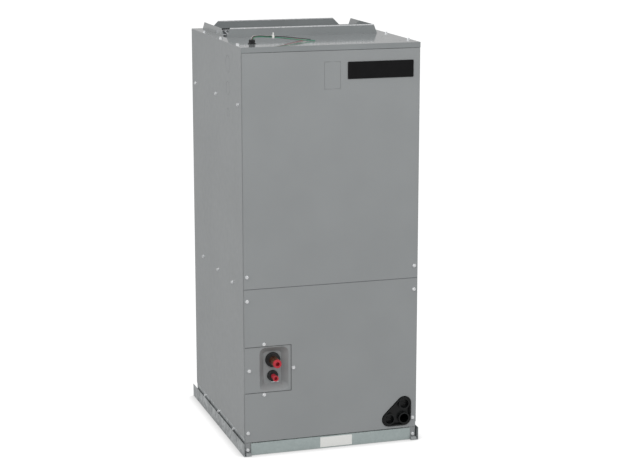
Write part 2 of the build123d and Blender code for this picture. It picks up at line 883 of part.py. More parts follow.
def cap(x, z, tube_r, tip_y):
    """Plastic cap that grips the tube end, with a hollow outer end."""
    outer = tube_r + cap_wall
    length = cap_hollow + cap_web + cap_grip
    body = rod_y(x, (tip_y, tip_y + length), z, outer)
    body += rod_y(x, (tip_y, tip_y + 2.0), z, outer + 0.7)
    body -= rod_y(x, (tip_y - 1, tip_y + cap_hollow), z, tube_r - 0.4)
    body -= rod_y(x, (tip_y + cap_hollow + cap_web, tip_y + length + 1), z, tube_r)
    return body


def plug_cap(x, z, tube_r, tip_y):
    """Plastic plug pushed into the tube end, with a lip and a hollow outer end."""
    lip_end = tip_y + plug_lip
    body = rod_y(x, (tip_y, lip_end + cap_grip), z, tube_r - tube_wall)
    body += rod_y(x, (lip_end - plug_rim, lip_end), z, tube_r)
    return body - rod_y(x, (tip_y - 1, tip_y + plug_hollow), z, plug_bore_r)


def pipe(points, radii, outer, wall=0.0):
    """Round tube along straight runs with tangent bends."""
    path = FilletPolyline(*points, radius=radii)
    start = Plane(origin=path @ 0, z_dir=path % 0)
    section = start * Circle(outer)
    if wall:
        section -= start * Circle(outer - wall)
    return sweep(section, path=path)


def slab_point(share, side=-1):
    """Point on a slab's middle line in X and Z, share 0 at its foot and 1 at its head."""
    return (side * (slab_foot_x - share * slab_lean), slab_foot_z + share * slab_rise)


def header_core():
    foot = slab_point(header_low_share)
    head = slab_point(header_high_share)
    axis = Vector(head[0] - foot[0], 0, head[1] - foot[1])
    core = Cylinder(header_r, axis.length, align=(Align.CENTER, Align.CENTER, Align.MIN))
    return Plane(origin=(foot[0], header_y, foot[1]), z_dir=axis) * core


def suction_tube():
    """Stub behind its cap that runs through the plate and turns into the header."""
    start_y = suction_tip_y + plug_lip
    join_x = slab_point((suction_z - slab_foot_z) / slab_rise)[0]
    route = [(suction_x, start_y, suction_z), (suction_x, header_y, suction_z), (join_x, header_y, suction_z)]
    return pipe(route, 16.0, suction_tube_r, tube_wall) - header_core()


def liquid_tube():
    start_y = liquid_tip_y + cap_hollow + cap_web
    route = [(liquid_x, start_y, liquid_z), (liquid_x, valve_y, liquid_z), (liquid_x, valve_y, valve_top())]
    return pipe(route, 12.0, liquid_tube_r, tube_wall)


def valve_top():
    return liquid_z - 42.0


def metering_valve():
    """Brass metering body with its flare nut and the distributor cone below."""
    top = valve_top()
    hex_nut = Pos(liquid_x, valve_y, top - 12.0) * extrude(RegularPolygon(8.5, 6, major_radius=False), 12.0)
    body = rod_z(liquid_x, valve_y, (top - 26.0, top - 12.0), 6.5)
    cone = Pos(liquid_x, valve_y, top - 32.0) * Rot(180, 0, 0) * Cone(6.5, 11.0, 12.0)
    return hex_nut + body + cone


def distributor_tubes():
    """Thin feeder tubes from the distributor to both slabs, each in a plane of its own."""
    foot_z = valve_top() - 38.0
    low = foot_z - 12.0
    targets = ((1, 0.62), (1, 0.16), (-1, 0.28), (-1, 0.05))
    tubes = []
    for index, (side, share) in enumerate(targets):
        x, z = slab_point(share, side)
        y = valve_y + (index - 1.5) * feeder_pitch
        route = [(liquid_x, y, foot_z), (liquid_x, y, low), (x, y, low), (x, y, z)]
        route.append((x, slab_front - tube_sheet, z))
        tubes.append(pipe(route, 4.5, feeder_r))
    return group(tubes)


def suction_header():
    """Leaning copper header with short stubs into the left slab."""
    body = header_core()
    span = header_high_share - header_low_share
    for step in (0.3, 0.55, 0.8):
        x, z = slab_point(header_low_share + step * span)
        body += rod_y(x, (header_y, slab_front - tube_sheet), z, coil_tube_r)
    return body


# Drain pan


def drain_pan():
    """Moulded pan with a channel around the air opening and the three-port boss in front."""
    z = (pan_ledge_z, pan_ledge_z + pan_height)
    shell = block((-pan_half_x, pan_half_x), (pan_front, pan_back), z)
    hollow_x = (-pan_half_x + pan_wall, pan_half_x - pan_wall)
    hollow_y = (pan_front + pan_wall, pan_back - pan_wall)
    shell -= block(hollow_x, hollow_y, (z[0] + pan_floor, z[1] + 1))
    inner_x = (-pan_opening_x - pan_wall, pan_opening_x + pan_wall)
    inner_y = (pan_opening_front - pan_wall, pan_opening_back + pan_wall)
    shell += block(inner_x, inner_y, (z[0], z[1] - 6.0))
    opening_y = (pan_opening_front, pan_opening_back)
    shell -= block((-pan_opening_x, pan_opening_x), opening_y, (z[0] - 1, z[1] + 1))
    for y in (slab_front + 8.0, 0.0, slab_back - 14.0):
        foot = block((slab_foot_x - 46.0, slab_foot_x + 36.0), (y - 3.0, y + 3.0), (z[0] + 1.0, z[1] + 20.0))
        foot -= slab_solid(tube_sheet)
        for piece in (foot, mirror_x(foot)):
            shell += piece
    boss = along_y(boss_outline(0), (front - boss_proud, pan_front + pan_wall))
    pocket = along_y(boss_outline(-boss_rim), (front - boss_proud - 1, front - boss_proud + boss_pocket))
    for x, port_z in boss_ports:
        pocket -= rod_y(x, (front - 20, front + 20), port_z, port_collar_r)
    shell += boss - pocket
    for x, port_z in boss_ports:
        back = front - boss_proud + port_depth
        shell += rod_y(x, (pan_front, back + 2.0), port_z, port_collar_r)
        shell -= rod_y(x, (front - boss_proud - 1, back + 3.0), port_z, port_r)
    return shell


def drain_plugs():
    """Screwed plugs with a raised grip bar, in the two left-over ports."""
    plugs = []
    face = front - boss_proud + plug_face_depth
    for x, z in boss_ports[:2]:
        plug = rod_y(x, (face, face + 7.0), z, port_r - 0.05)
        bar = Pos(x, face - 2.0, z) * Rot(0, 35, 0) * Box(14.0, 4.4, 2.6)
        plugs.append(plug + bar)
    return group(plugs)


# A-coil


def slab_frame(side=1):
    """Frame of a slab: local Z runs up the slope and local X points out of its upper face."""
    return Pos(side * slab_foot_x, 0, slab_foot_z) * Rot(0, -side * slab_angle, 0)


def slab_solid(grow=0.0):
    """Right-hand fin block of the coil."""
    block_size = Box(slab_thickness, slab_back - slab_front + 2 * grow, slab_length,
                     align=(Align.CENTER, Align.CENTER, Align.MIN))
    return Pos(0, (slab_front + slab_back) / 2, 0) * slab_frame() * block_size


def coil_right():
    return slab_solid()


def coil_left():
    return mirror_x(slab_solid())


def coil_plates():
    """Tube sheets at both ends of each slab, delta plates between the slabs and the apex cap."""
    plates = []
    length = slab_length
    sheet = Box(slab_thickness + 6.0, tube_sheet, length, align=(Align.CENTER, Align.CENTER, Align.MIN))
    for y in (slab_front - tube_sheet / 2, slab_back + tube_sheet / 2):
        plate = Pos(0, y, 0) * slab_frame() * sheet
        plates += [plate, mirror_x(plate)]
    inner = slab_thickness / 2 + 3.0
    lean = radians(slab_angle)
    foot = (slab_foot_x - inner * cos(lean) - 0.3, slab_foot_z - inner * sin(lean))
    rise = length - 4.0
    head = (foot[0] - rise * sin(lean), foot[1] + rise * cos(lean))
    outline = [(-foot[0], foot[1]), (foot[0], foot[1]), head, (-head[0], head[1])]
    for y in ((slab_front, slab_front + tube_sheet), (slab_back - tube_sheet, slab_back)):
        plates.append(prism_y(outline, y))
    outer = slab_thickness / 2
    crown_z = slab_head_z + outer * sin(lean) + joint_clearance
    half = slab_head_x + outer * cos(lean) + 1.0
    plates.append(block((-half, half), (slab_front, slab_back), (crown_z, crown_z + tube_sheet)))
    return group(plates)


def bend(reach, spread, place):
    """Half-round return bend between two neighbouring tubes."""
    corners = [(0, 0, 0), (0, -reach, 0), (0, -reach, spread), (0, 0, spread)]
    legs = FilletPolyline(*corners, radius=spread / 2 - 0.01)
    start = Plane(origin=legs @ 0, z_dir=legs % 0)
    return place * sweep(start * Circle(coil_tube_r), path=legs)


def coil_bends():
    """Copper return bends on the tube sheets of both slabs."""
    pitch = slab_length / coil_tubes_per_row
    bends = []
    for end, y in ((1, slab_front - tube_sheet), (-1, slab_back + tube_sheet)):
        turn = Rot(0, 0, 0) if end == 1 else Rot(180, 0, 0)
        for row in range(coil_rows):
            offset = (row - (coil_rows - 1) / 2) * slab_thickness / coil_rows
            start = 0 if end == 1 else 1
            for index in range(start, coil_tubes_per_row - 1, 2):
                level = (index + 0.5) * pitch
                place = slab_frame() * Pos(offset, y, level)
                if end == -1:
                    place = slab_frame() * Pos(offset, y, level + pitch)
                piece = bend(bend_reach, pitch, place * turn)
                bends += [piece, mirror_x(piece)]
    return group(bends)


# Blower


def scroll_edge(offset):
    """Edge of the scroll from its cutoff round the front and below to the outlet's rear wall."""
    angles = [cutoff_angle + i * (270 - cutoff_angle) / 10 for i in range(11)]
    points = [(0, *scroll_point(angle, offset)) for angle in angles]
    return Spline(*points, tangents=[scroll_tangent(cutoff_angle), (0, 0, 1)])


def scroll_tangent(angle):
    return (0, -cos(radians(angle)), -sin(radians(angle)))


def housing_profile(offset):
    """Side outline of the housing: scroll, outlet walls and outlet mouth."""
    curve = scroll_edge(offset)
    start = curve @ 0
    end = curve @ 1
    front_y = outlet_span_y()[0] - offset
    top = deck_z
    knee = (0, front_y, start.Z + 24.0)
    outline = [
        curve,
        Line(end, (0, end.Y, top)),
        Line((0, end.Y, top), (0, front_y, top)),
        Line((0, front_y, top), knee),
        Line(knee, start),
    ]
    return make_face(outline)


def housing_solid(offset, x):
    return Pos(x[0], 0, 0) * extrude(housing_profile(offset), x[1] - x[0], dir=(1, 0, 0))


def blower_sides():
    """Side plates with rolled inlet rings and a flange under the deck."""
    wall = (housing_half_width, housing_half_width + housing_wall)
    plate = housing_solid(housing_wall, wall)
    plate -= rod_x((wall[0] - 1, wall[1] + 1), blower_y, blower_z, inlet_r)
    ring = rod_x((wall[0] - inlet_lip, wall[1]), blower_y, blower_z, inlet_r + housing_wall)
    ring -= rod_x((wall[0] - inlet_lip - 1, wall[1] + 1), blower_y, blower_z, inlet_r)
    y = outlet_span_y()
    flange = block((wall[0], wall[1] + housing_flange), (y[0] - housing_wall, y[1] + housing_wall),
                   (deck_z - housing_wall, deck_z))
    plate = plate + ring + flange
    return group([plate, mirror_x(plate)])


def blower_scroll():
    """Wrapped sheet of the housing between the side plates."""
    x = (-housing_half_width, housing_half_width)
    wrap = housing_solid(housing_wall, x) - housing_solid(0, x)
    y = outlet_span_y()
    mouth = block(x, y, (deck_z - 1.0, deck_z + 1.0))
    return wrap - mouth


def blade_outline():
    """Forward-curved blade section in the wheel's plane, at the wheel's front."""
    inner = wheel_r - blade_depth
    arc = ThreePointArc((0, inner), (4.5, inner + blade_depth * 0.55), (1.0, wheel_r - 1.0))
    return trace(arc, blade_thickness)


def blower_wheel():
    """Double-inlet wheel: blades, two end rings, centre disc and hub."""
    half = wheel_half_width
    section = Sketch()
    blade = blade_outline()
    for index in range(wheel_blades):
        section += Rot(0, 0, index * 360 / wheel_blades) * blade
    wheel = Pos(0, 0, -half) * extrude(section, 2 * half)
    ring = Cylinder(wheel_r, wheel_ring) - Cylinder(wheel_r - blade_depth + 1.0, wheel_ring)
    wheel += Pos(0, 0, half - wheel_ring / 2) * ring
    wheel += Pos(0, 0, -half + wheel_ring / 2) * ring
    wheel += Cylinder(wheel_r - 2.0, wheel_disc) - Cylinder(shaft_r, wheel_disc)
    hub = Cylinder(hub_r, hub_length) - Cylinder(shaft_r, hub_length)
    wheel += hub
    return Pos(0, blower_y, blower_z) * Rot(0, 90, 0) * wheel


def motor_rotor():
    """Motor rotor on its shaft, which carries the wheel's hub."""
    middle = (motor_left + motor_right) / 2
    shaft = rod_x((motor_left - 8.0, hub_length / 2 + 6.0), blower_y, blower_z, shaft_r)
    return shaft + rod_x((middle - stack_length / 2, middle + stack_length / 2), blower_y, blower_z, rotor_r)


def motor_stator():
    """Laminated stator ring with end windings."""
    middle = (motor_left + motor_right) / 2
    outer = motor_r - motor_wall
    ring = rod_x((middle - stack_length / 2, middle + stack_length / 2), blower_y, blower_z, outer)
    winding_reach = stack_length / 2 + 10.0
    windings = rod_x((middle - winding_reach, middle + winding_reach), blower_y, blower_z, outer - 8.0)
    bore = rod_x((motor_left, motor_right), blower_y, blower_z, stator_inner_r)
    return ring + windings - bore


def motor_shell():
    """Motor can with one drawn end, and the end bell that closes it."""
    end = 3.0
    bore = rod_x((motor_left - 20, motor_right + 20), blower_y, blower_z, shaft_r + shaft_clearance)
    can = rod_x((motor_left + end, motor_right), blower_y, blower_z, motor_r)
    can = fillet(can.faces().sort_by(Axis.X)[-1].edges(), 6.0)
    can -= rod_x((motor_left, motor_right - end), blower_y, blower_z, motor_r - motor_wall)
    bell = rod_x((motor_left, motor_left + end), blower_y, blower_z, motor_r)
    bell += rod_x((motor_left - 5.0, motor_left + end), blower_y, blower_z, 18.0)
    for i in range(6):
        angle = 2 * pi * i / 6
        y = blower_y + 46.0 * cos(angle)
        z = blower_z + 46.0 * sin(angle)
        bell -= rod_x((motor_left - 1, motor_left + end + 1), y, z, 7.0)
    return group([can - bore, bell - bore])


def motor_mount():
    """Belly band around the motor and three arms to the left side plate."""
    outside = -housing_half_width - housing_wall
    band_x = (outside - mount_band + 4.0, outside + 4.0)
    band = rod_x(band_x, blower_y, blower_z, motor_r + 2.0)
    band -= rod_x((band_x[0] - 1, band_x[1] + 1), blower_y, blower_z, motor_r)
    reach = inlet_r + 16.0
    for i in range(mount_arms):
        angle = 90 + i * 360 / mount_arms
        arm_length = reach - motor_r - 1.0
        arm = Box(3.0, mount_arm, arm_length, align=(Align.MAX, Align.CENTER, Align.MIN))
        arm = Pos(outside, blower_y, blower_z) * Rot(angle, 0, 0) * Pos(0, 0, motor_r + 1.0) * arm
        foot = Box(2.0, mount_arm + 10.0, 14.0, align=(Align.MAX, Align.CENTER, Align.MAX))
        band += arm
        band += Pos(outside, blower_y, blower_z) * Rot(angle, 0, 0) * Pos(0, 0, reach) * foot
    return band


# Heater chamber and controls


def chamber_front():
    """Wall in front of the heater chamber, with the heater opening."""
    y = (chamber_y, chamber_y + skin)
    inside = side_inner - skin
    wall = block((-inside, inside), y, (deck_top, roof_bottom))
    wall += block((-inside, inside), (chamber_y - 14.0, chamber_y), (deck_top, deck_top + skin))
    x = (heater_cover_left + heater_cover_lap, heater_cover_right - heater_cover_lap)
    z = (heater_cover_bottom + heater_cover_lap, heater_cover_top - heater_cover_lap)
    wall -= block(x, (y[0] - 2, y[1] + 2), z)
    side = block((flange_edge, side_inner + 1), (y[0] - 1, y[1] + 1), (roof_flange_bottom, roof_bottom))
    return wall - side - mirror_x(side)


def heater_cover():
    """Galvanised blank-off plate over the heater opening, with a stiffening box."""
    x = (heater_cover_left, heater_cover_right)
    z = (heater_cover_bottom, heater_cover_top)
    plate = block(x, (chamber_y - skin, chamber_y), z)
    ridge = block((x[0] + 25, x[1] - 25), (chamber_y - 7.0, chamber_y - skin), (z[0] + 25, z[1] - 25))
    return plate + chamfer(ridge.faces().sort_by(Axis.Y)[0].edges(), 4.0)


def control_box():
    """Open tray for the controls, fixed to the chamber wall."""
    x = (control_left, control_right)
    y = (chamber_y - control_depth, chamber_y)
    z = (control_bottom, control_top)
    tray = block(x, y, z)
    return tray - block((x[0] + skin, x[1] - skin), (y[0] - 1, y[1] - skin), (z[0] + skin, z[1] - skin))


def board_places():
    """Lower left corner of the board on the tray."""
    return (control_left + 8.0, control_top - board_height - 10.0)


def control_board():
    """Circuit board on stand-offs, with relay, fuse, connectors and terminals."""
    x0, z0 = board_places()
    tray_y = chamber_y - skin
    face = tray_y - stand_off
    board = block((x0, x0 + board_width), (face - 1.6, face), (z0, z0 + board_height))
    for dx in (6.0, board_width - 6.0):
        for dz in (6.0, board_height - 6.0):
            board += rod_y(x0 + dx, (face, tray_y), z0 + dz, 2.5)
    top = face - 1.6
    board += block((x0 + 12, x0 + 40), (top - 16.0, top), (z0 + 44, z0 + 72))
    board += block((x0 + 50, x0 + 74), (top - 12.0, top), (z0 + 52, z0 + 70))
    board += block((x0 + 8, x0 + 84), (top - 9.0, top), (z0 + 6, z0 + 16))
    board += block((x0 + 12, x0 + 22), (top - 7.0, top), (z0 + 24, z0 + 38))
    for i in range(5):
        board += block((x0 + 32 + 9 * i, x0 + 36 + 9 * i), (top - 8.0, top), (z0 + 26, z0 + 34))
    return board


def transformer():
    """Laminated control transformer on its bracket."""
    x = (control_right - 54.0, control_right - 8.0)
    z = (control_top - 62.0, control_top - 14.0)
    back = chamber_y - skin
    core = block(x, (back - 38.0, back), z)
    core -= block((x[0] + 8, x[1] - 8), (back - 39.0, back - 30.0), (z[0] - 1, z[1] + 1))
    coil = block((x[0] + 9, x[1] - 9), (back - 44.0, back - 6.0), (z[0] - 6.0, z[1] + 6.0))
    return core + fillet(coil.edges().filter_by(Axis.Y), 4.0)


def terminal_block():
    """Line-voltage terminal block with barrier walls."""
    x = (control_right - 54.0, control_right - 8.0)
    z = (control_bottom + 8.0, control_bottom + 36.0)
    back = chamber_y - skin
    body = block(x, (back - 12.0, back), z)
    for i in range(4):
        wall_x = x[0] + i * (x[1] - x[0] - 2.5) / 3
        body += block((wall_x, wall_x + 2.5), (back - 22.0, back), z)
    return body


def wire_bushing():
    """Snap-in bushing in the top plate, with four lead holes."""
    z = cabinet_height
    body = rod_z(bushing_x, bushing_y, (z, z + bushing_height), bushing_r)
    body = chamfer(body.faces().sort_by(Axis.Z)[-1].edges(), 1.5)
    body += rod_z(bushing_x, bushing_y, (z, z + 2.0), bushing_flange_r)
    body += rod_z(bushing_x, bushing_y, (z - 6.0, z), bushing_r)
    for dx, dy in lead_offsets():
        body -= rod_z(bushing_x + dx, bushing_y + dy, (z - 7.0, z + bushing_height + 1), lead_r)
    return body


def lead_offsets():
    half = lead_pitch / 2
    return ((-half, -half), (-half, half), (half, -half), (half, half))


def shared_route():
    """Points that the whole bundle follows, from inside the bushing to past the tie."""
    base_z = cabinet_height + bushing_height
    return [
        (bushing_x, bushing_y, base_z - 8.0),
        (bushing_x, bushing_y, base_z + 5.6),
        (bushing_x + 16.0, bushing_y + 6.0, base_z + 7.4),
        (bushing_x + 40.0, bushing_y + 14.0, base_z + 5.0),
        (tie_x, bushing_y + 20.0, base_z + 3.0),
    ]


def lead_route(index):
    """Points of one lead: the shared ones, shifted by its place in the bundle, then its own end."""
    dx, dy = lead_offsets()[index]
    ends = (
        [(-84.0, -157.0, 12.0), (-52.0, -152.0, 7.0), (-22.0, -149.0, 3.5)],
        [(-86.0, -151.0, 11.5), (-56.0, -143.0, 6.0), (-30.0, -139.0, 2.6)],
        [(-82.0, -158.0, 8.0), (-48.0, -158.0, 3.5), (-14.0, -163.0, 1.6)],
        [(-84.0, -150.0, 7.0), (-52.0, -136.0, 3.0), (-34.0, -122.0, 1.6)],
    )
    route = [(x + dx, y + dy, z - dx) for x, y, z in shared_route()]
    return route + [(x, y, cabinet_height + rise) for x, y, rise in ends[index]]


def turn_radii(points, share=0.45):
    """Largest arc at each inner point that both its runs allow."""
    radii = []
    for a, b, c in zip(points, points[1:], points[2:]):
        one = Vector(*b) - Vector(*a)
        two = Vector(*c) - Vector(*b)
        half_turn = radians(one.get_angle(two)) / 2
        radii.append(share * min(one.length, two.length) / tan(half_turn))
    return radii


def lead(index):
    points = lead_route(index)
    radii = turn_radii(points)
    path = FilletPolyline(*points, radius=radii)
    start = Plane(origin=path @ 0, z_dir=path % 0)
    tube = sweep(start * Circle(lead_r), path=path)
    expected = pi * lead_r ** 2 * path.length
    print("lead", index, "length", round(path.length, 1), "radii", [round(r, 1) for r in radii],
          "volume ratio", round(tube.volume / expected, 4))
    return tube


def lead_tie():
    """Nylon tie around the four leads, with its head and cut tail."""
    before, after = shared_route()[3:5]
    middle_x = tie_x - tie_back
    share = (middle_x - before[0]) / (after[0] - before[0])
    y = before[1] + share * (after[1] - before[1])
    z = before[2] + share * (after[2] - before[2])
    inner = lead_pitch / 2 + lead_r + 0.5
    outer = inner + tie_wall
    x = (middle_x - tie_width / 2, middle_x + tie_width / 2)
    band = block(x, (y - outer, y + outer), (z - outer, z + outer))
    band -= block((x[0] - 1, x[1] + 1), (y - inner, y + inner), (z - inner, z + inner))
    head = block((x[0] - 0.8, x[1] + 0.8), (y - outer - 4.0, y - outer), (z - 3.2, z + 3.2))
    tail = block(x, (y - outer - 3.0, y - outer - 1.9), (z, z + 11.0))
    return band + head + tail


NODES = {
    "left_rail": lambda: rail("left"),
    "right_rail": lambda: rail("right"),
    "filter_tracks": filter_tracks,
    "rear_rail": rear_rail,
    "front_rail": front_rail,
    "filter_frame": filter_frame,
    "filter_media": filter_media,
    "filter_door": filter_door,
    "door_label": door_label,
    "left_side": lambda: side_panel("left"),
    "right_side": lambda: side_panel("right"),
    "back_panel": back_panel,
    "cabinet_liners": cabinet_liners,
    "divider_shelf": divider_shelf,
    "blower_deck": blower_deck,
    "top_plate": top_plate,
    "cabinet_screws": cabinet_screws,
    "upper_panel": upper_panel,
    "upper_panel_liner": upper_panel_liner,
    "upper_panel_screws": upper_panel_screws,
    "badge": badge,
    "lower_panel": lower_panel,
    "lower_panel_liner": lower_panel_liner,
    "lower_panel_screws": lower_panel_screws,
    "panel_gaskets": panel_gaskets,
    "refrigerant_plate": refrigerant_plate,
    "suction_grommet": lambda: grommet(suction_x, suction_z, suction_grommet_r, suction_tube_r),
    "liquid_grommet": lambda: grommet(liquid_x, liquid_z, liquid_grommet_r, liquid_tube_r),
    "suction_tube": suction_tube,
    "liquid_tube": liquid_tube,
    "suction_cap": lambda: plug_cap(suction_x, suction_z, suction_tube_r, suction_tip_y),
    "liquid_cap": lambda: cap(liquid_x, liquid_z, liquid_tube_r, liquid_tip_y),
    "drain_pan": drain_pan,
    "drain_plugs": drain_plugs,
    "coil_left": coil_left,
    "coil_right": coil_right,
    "coil_plates": coil_plates,
    "coil_bends": coil_bends,
    "suction_header": suction_header,
    "metering_valve": metering_valve,
    "distributor_tubes": distributor_tubes,
    "blower_sides": blower_sides,
    "blower_scroll": blower_scroll,
    "blower_wheel": blower_wheel,
    "motor_rotor": motor_rotor,
    "motor_stator": motor_stator,
    "motor_shell": motor_shell,
    "motor_mount": motor_mount,
    "chamber_front": chamber_front,
    "heater_cover": heater_cover,
    "control_box": control_box,
    "control_board": control_board,
    "transformer": transformer,
    "terminal_block": terminal_block,
    "wire_bushing": wire_bushing,
    "lead_white": lambda: lead(1),
    "lead_red": lambda: lead(3),
    "lead_black": lambda: lead(0),
    "lead_green": lambda: lead(2),
    "lead_tie": lead_tie,
}

os.makedirs("parts", exist_ok=True)
for name, make in NODES.items():
    export_step(make(), f"parts/{name}.step")
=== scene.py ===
import json
from math import radians

import bmesh
import bpy
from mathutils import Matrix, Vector


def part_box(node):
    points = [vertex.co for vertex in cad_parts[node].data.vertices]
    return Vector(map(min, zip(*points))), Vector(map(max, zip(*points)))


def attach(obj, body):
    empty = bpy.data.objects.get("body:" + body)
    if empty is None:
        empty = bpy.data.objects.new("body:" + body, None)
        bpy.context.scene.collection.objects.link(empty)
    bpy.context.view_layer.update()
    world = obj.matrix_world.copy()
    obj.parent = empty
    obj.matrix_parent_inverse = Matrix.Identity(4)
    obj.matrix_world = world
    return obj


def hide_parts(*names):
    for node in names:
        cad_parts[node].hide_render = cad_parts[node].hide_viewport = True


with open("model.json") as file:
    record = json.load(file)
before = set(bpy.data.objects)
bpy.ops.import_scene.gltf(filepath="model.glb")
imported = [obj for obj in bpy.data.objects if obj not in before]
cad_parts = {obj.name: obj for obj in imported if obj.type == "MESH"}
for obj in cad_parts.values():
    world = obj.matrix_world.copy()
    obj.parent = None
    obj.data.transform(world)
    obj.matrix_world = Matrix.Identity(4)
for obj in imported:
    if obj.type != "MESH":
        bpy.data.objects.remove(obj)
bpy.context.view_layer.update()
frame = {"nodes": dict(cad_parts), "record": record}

NODES = frame["nodes"]
SCENE = bpy.context.scene
MM = 0.001


# Camera, as fitted to the photograph

CAMERA_PLACE = (-1.3434, -4.4448, 1.5082)
CAMERA_AZIMUTH = -17.343
CAMERA_ELEVATION = 12.181
CAMERA_LENS = 99.808
CAMERA_SENSOR = 36
CAMERA_REACH = 60

camera_data = bpy.data.cameras.new("camera")
camera_data.lens = CAMERA_LENS
camera_data.sensor_width = CAMERA_SENSOR
camera_data.clip_end = CAMERA_REACH
camera = bpy.data.objects.new("camera", camera_data)
camera.location = CAMERA_PLACE
camera.rotation_euler = (radians(90 - CAMERA_ELEVATION), 0, radians(CAMERA_AZIMUTH))
SCENE.collection.objects.link(camera)
SCENE.camera = camera


# Cords: the four low-voltage leads, on the route that the CAD model gives them.
# Each has its offset in the bundle, its length in metres and its own last points in millimetres.

LEAD_DIAMETER = 0.0022
SHARED_ROUTE = [
    (-185, -180, 1055),
    (-185, -180, 1068.6),
    (-169, -174, 1070.4),
    (-145, -166, 1068),
    (-118, -160, 1066),
]
LEADS = {
    "lead_black": ((-1.35, -1.35), 0.1804, [(-84, -157, 1064), (-52, -152, 1059), (-22, -149, 1055.5)]),
    "lead_white": ((-1.35, 1.35), 0.1740, [(-86, -151, 1063.5), (-56, -143, 1058), (-30, -139, 1054.6)]),
    "lead_green": ((1.35, -1.35), 0.1853, [(-82, -158, 1060), (-48, -158, 1055.5), (-14, -163, 1053.6)]),
    "lead_red": ((1.35, 1.35), 0.1736, [(-84, -150, 1059), (-52, -136, 1055), (-34, -122, 1053.6)]),
}
CURVE_STEPS = 16
CURVE_ROUNDNESS = 5
CURVE_ORDER = 3

# Blender grows a curve's bounding box by the points' radius, which also scales the bevel depth
POINT_RADIUS = 0.001


def nurbs_curve(name, points, radius):
    curve = bpy.data.curves.new(name, "CURVE")
    curve.dimensions = "3D"
    curve.resolution_u = CURVE_STEPS
    curve.bevel_depth = radius / POINT_RADIUS
    curve.bevel_resolution = CURVE_ROUNDNESS
    curve.use_fill_caps = True
    spline = curve.splines.new("NURBS")
    spline.points.add(len(points) - 1)
    for point, place in zip(spline.points, points):
        point.co = (*place, 1)
        point.radius = POINT_RADIUS
    spline.order_u = CURVE_ORDER
    spline.use_endpoint_u = True
    obj = bpy.data.objects.new(name, curve)
    SCENE.collection.objects.link(obj)
    return obj


def make_leads():
    leads = {}
    for node, ((dx, dy), length, ends) in LEADS.items():
        route = [(x + dx, y + dy, z - dx) for x, y, z in SHARED_ROUTE] + ends
        route = [tuple(value * MM for value in point) for point in route]
        lead = nurbs_curve(node.replace("lead", "wire"), route, LEAD_DIAMETER / 2)
        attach(lead, "root")
        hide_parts(node)
        leads[node] = lead
    return leads


leads = make_leads()


# Shader helpers: each one adds a node and returns its output

def srgb(red, green, blue):
    def linear(value):
        value = value / 255
        return value / 12.92 if value <= 0.04045 else ((value + 0.055) / 1.055) ** 2.4
    return (linear(red), linear(green), linear(blue), 1)


class Shader:
    def __init__(self, name, edge=0.0004, **values):
        self.material = bpy.data.materials.new(name)
        self.material.use_nodes = True
        self.tree = self.material.node_tree
        self.tree.nodes.clear()
        output = self.tree.nodes.new("ShaderNodeOutputMaterial")
        self.surface = self.tree.nodes.new("ShaderNodeBsdfPrincipled")
        self.link(self.surface.outputs["BSDF"], output.inputs["Surface"])
        self.place = self.tree.nodes.new("ShaderNodeTexCoord").outputs["Object"]
        for key, value in values.items():
            self.surface.inputs[key.replace("_", " ")].default_value = value
        if edge:
            rounded = self.node("Bevel", {"Radius": edge}, samples=4)
            self.link(rounded.outputs["Normal"], self.surface.inputs["Normal"])

    def link(self, source, target):
        self.tree.links.new(source, target)

    def node(self, kind, inputs=(), **settings):
        made = self.tree.nodes.new("ShaderNode" + kind)
        for key, value in settings.items():
            setattr(made, key, value)
        for key, value in dict(inputs).items():
            if isinstance(value, bpy.types.NodeSocket):
                self.link(value, made.inputs[key])
            else:
                made.inputs[key].default_value = value
        return made

    def stretched(self, x, y, z):
        return self.node("Mapping", {"Vector": self.place, "Scale": (x, y, z)}).outputs[0]

    def noise(self, scale, detail=3, roughness=0.5, place=None):
        values = {"Vector": place or self.place, "Scale": scale, "Detail": detail, "Roughness": roughness}
        return self.node("TexNoise", values).outputs["Fac"]

    def cells(self, scale, output, place=None, feature="F1"):
        values = {"Vector": place or self.place, "Scale": scale}
        return self.node("TexVoronoi", values, feature=feature).outputs[output]

    def bands(self, scale, direction):
        values = {"Vector": self.place, "Scale": scale}
        return self.node("TexWave", values, bands_direction=direction).outputs["Fac"]

    def level(self, value, low, high, start=0.0, end=1.0):
        values = {"Value": value, "From Min": start, "From Max": end, "To Min": low, "To Max": high}
        return self.node("MapRange", values).outputs["Result"]

    def math(self, operation, first, second):
        return self.node("Math", {0: first, 1: second}, operation=operation).outputs[0]

    def colour(self, share, first, second):
        mix = self.tree.nodes.new("ShaderNodeMix")
        mix.data_type = "RGBA"
        self.link(share, mix.inputs[0])
        mix.inputs[6].default_value = first
        mix.inputs[7].default_value = second
        self.link(mix.outputs[2], self.surface.inputs["Base Color"])

    def rough(self, value, low, high):
        self.link(self.level(value, low, high, 0.3, 0.7), self.surface.inputs["Roughness"])

    def bump(self, height, distance):
        values = {"Height": height, "Distance": distance}
        if self.surface.inputs["Normal"].is_linked:
            values["Normal"] = self.surface.inputs["Normal"].links[0].from_socket
        made = self.node("Bump", values)
        self.link(made.outputs["Normal"], self.surface.inputs["Normal"])


# Materials, one for each slot of the record. Noise scales are per metre and bump distances are in metres.

def painted(name, dark, light, roughness, coat, peel):
    shader = Shader(name, Coat_Weight=coat, Coat_Roughness=roughness * 0.6)
    shader.colour(shader.level(shader.noise(7, 4), 0, 1, 0.35, 0.65), dark, light)
    shader.rough(shader.noise(60, 4), roughness - 0.04, roughness + 0.05)
    shader.bump(shader.noise(420, 2, 0.4), peel)
    return shader.material


